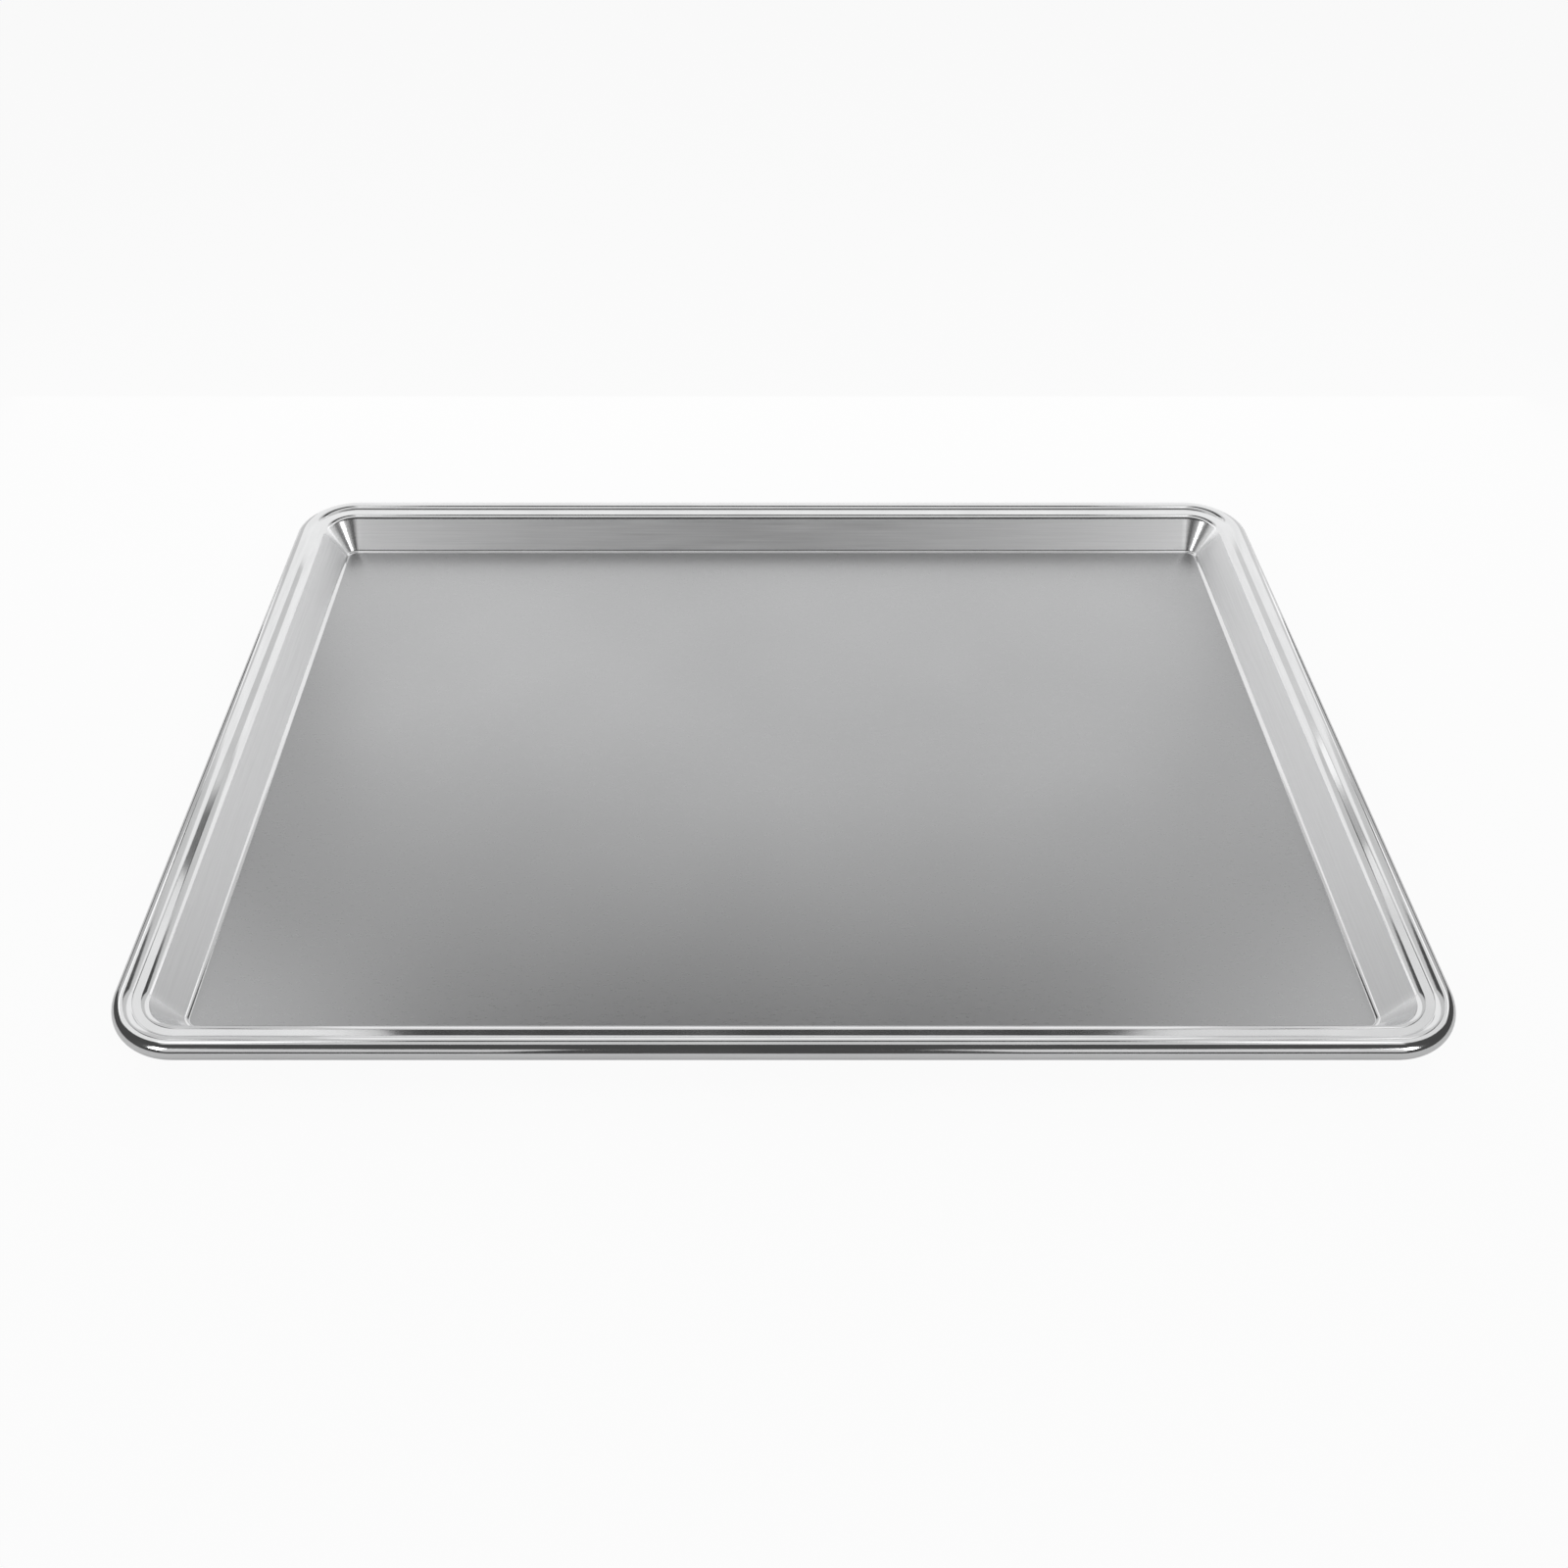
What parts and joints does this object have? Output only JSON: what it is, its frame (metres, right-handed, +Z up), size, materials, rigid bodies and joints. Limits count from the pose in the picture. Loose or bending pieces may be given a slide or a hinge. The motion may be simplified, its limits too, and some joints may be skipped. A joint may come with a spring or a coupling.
{
  "type": "cookie sheet",
  "caption": "Shallow rectangular baking tray pressed from one metal sheet, with sloping walls, rounded corners and an edge curled round a reinforcing wire.",
  "frame": {"origin": "middle of the flat underside of the floor", "axes": "+X along the long side, +Y along the short side, +Z up, out of the open top"},
  "size_m": [0.457, 0.33, 0.0175],
  "materials": {
    "pan_aluminium": "satin floor, finely brushed walls, polished lip and bead",
    "wire_steel": "bright drawn wire, hidden inside the bead"
  },
  "bodies": {
    "root": {"pressed_pan": "pan_aluminium", "rim_wire": "wire_steel"}
  },
  "joints": []
}
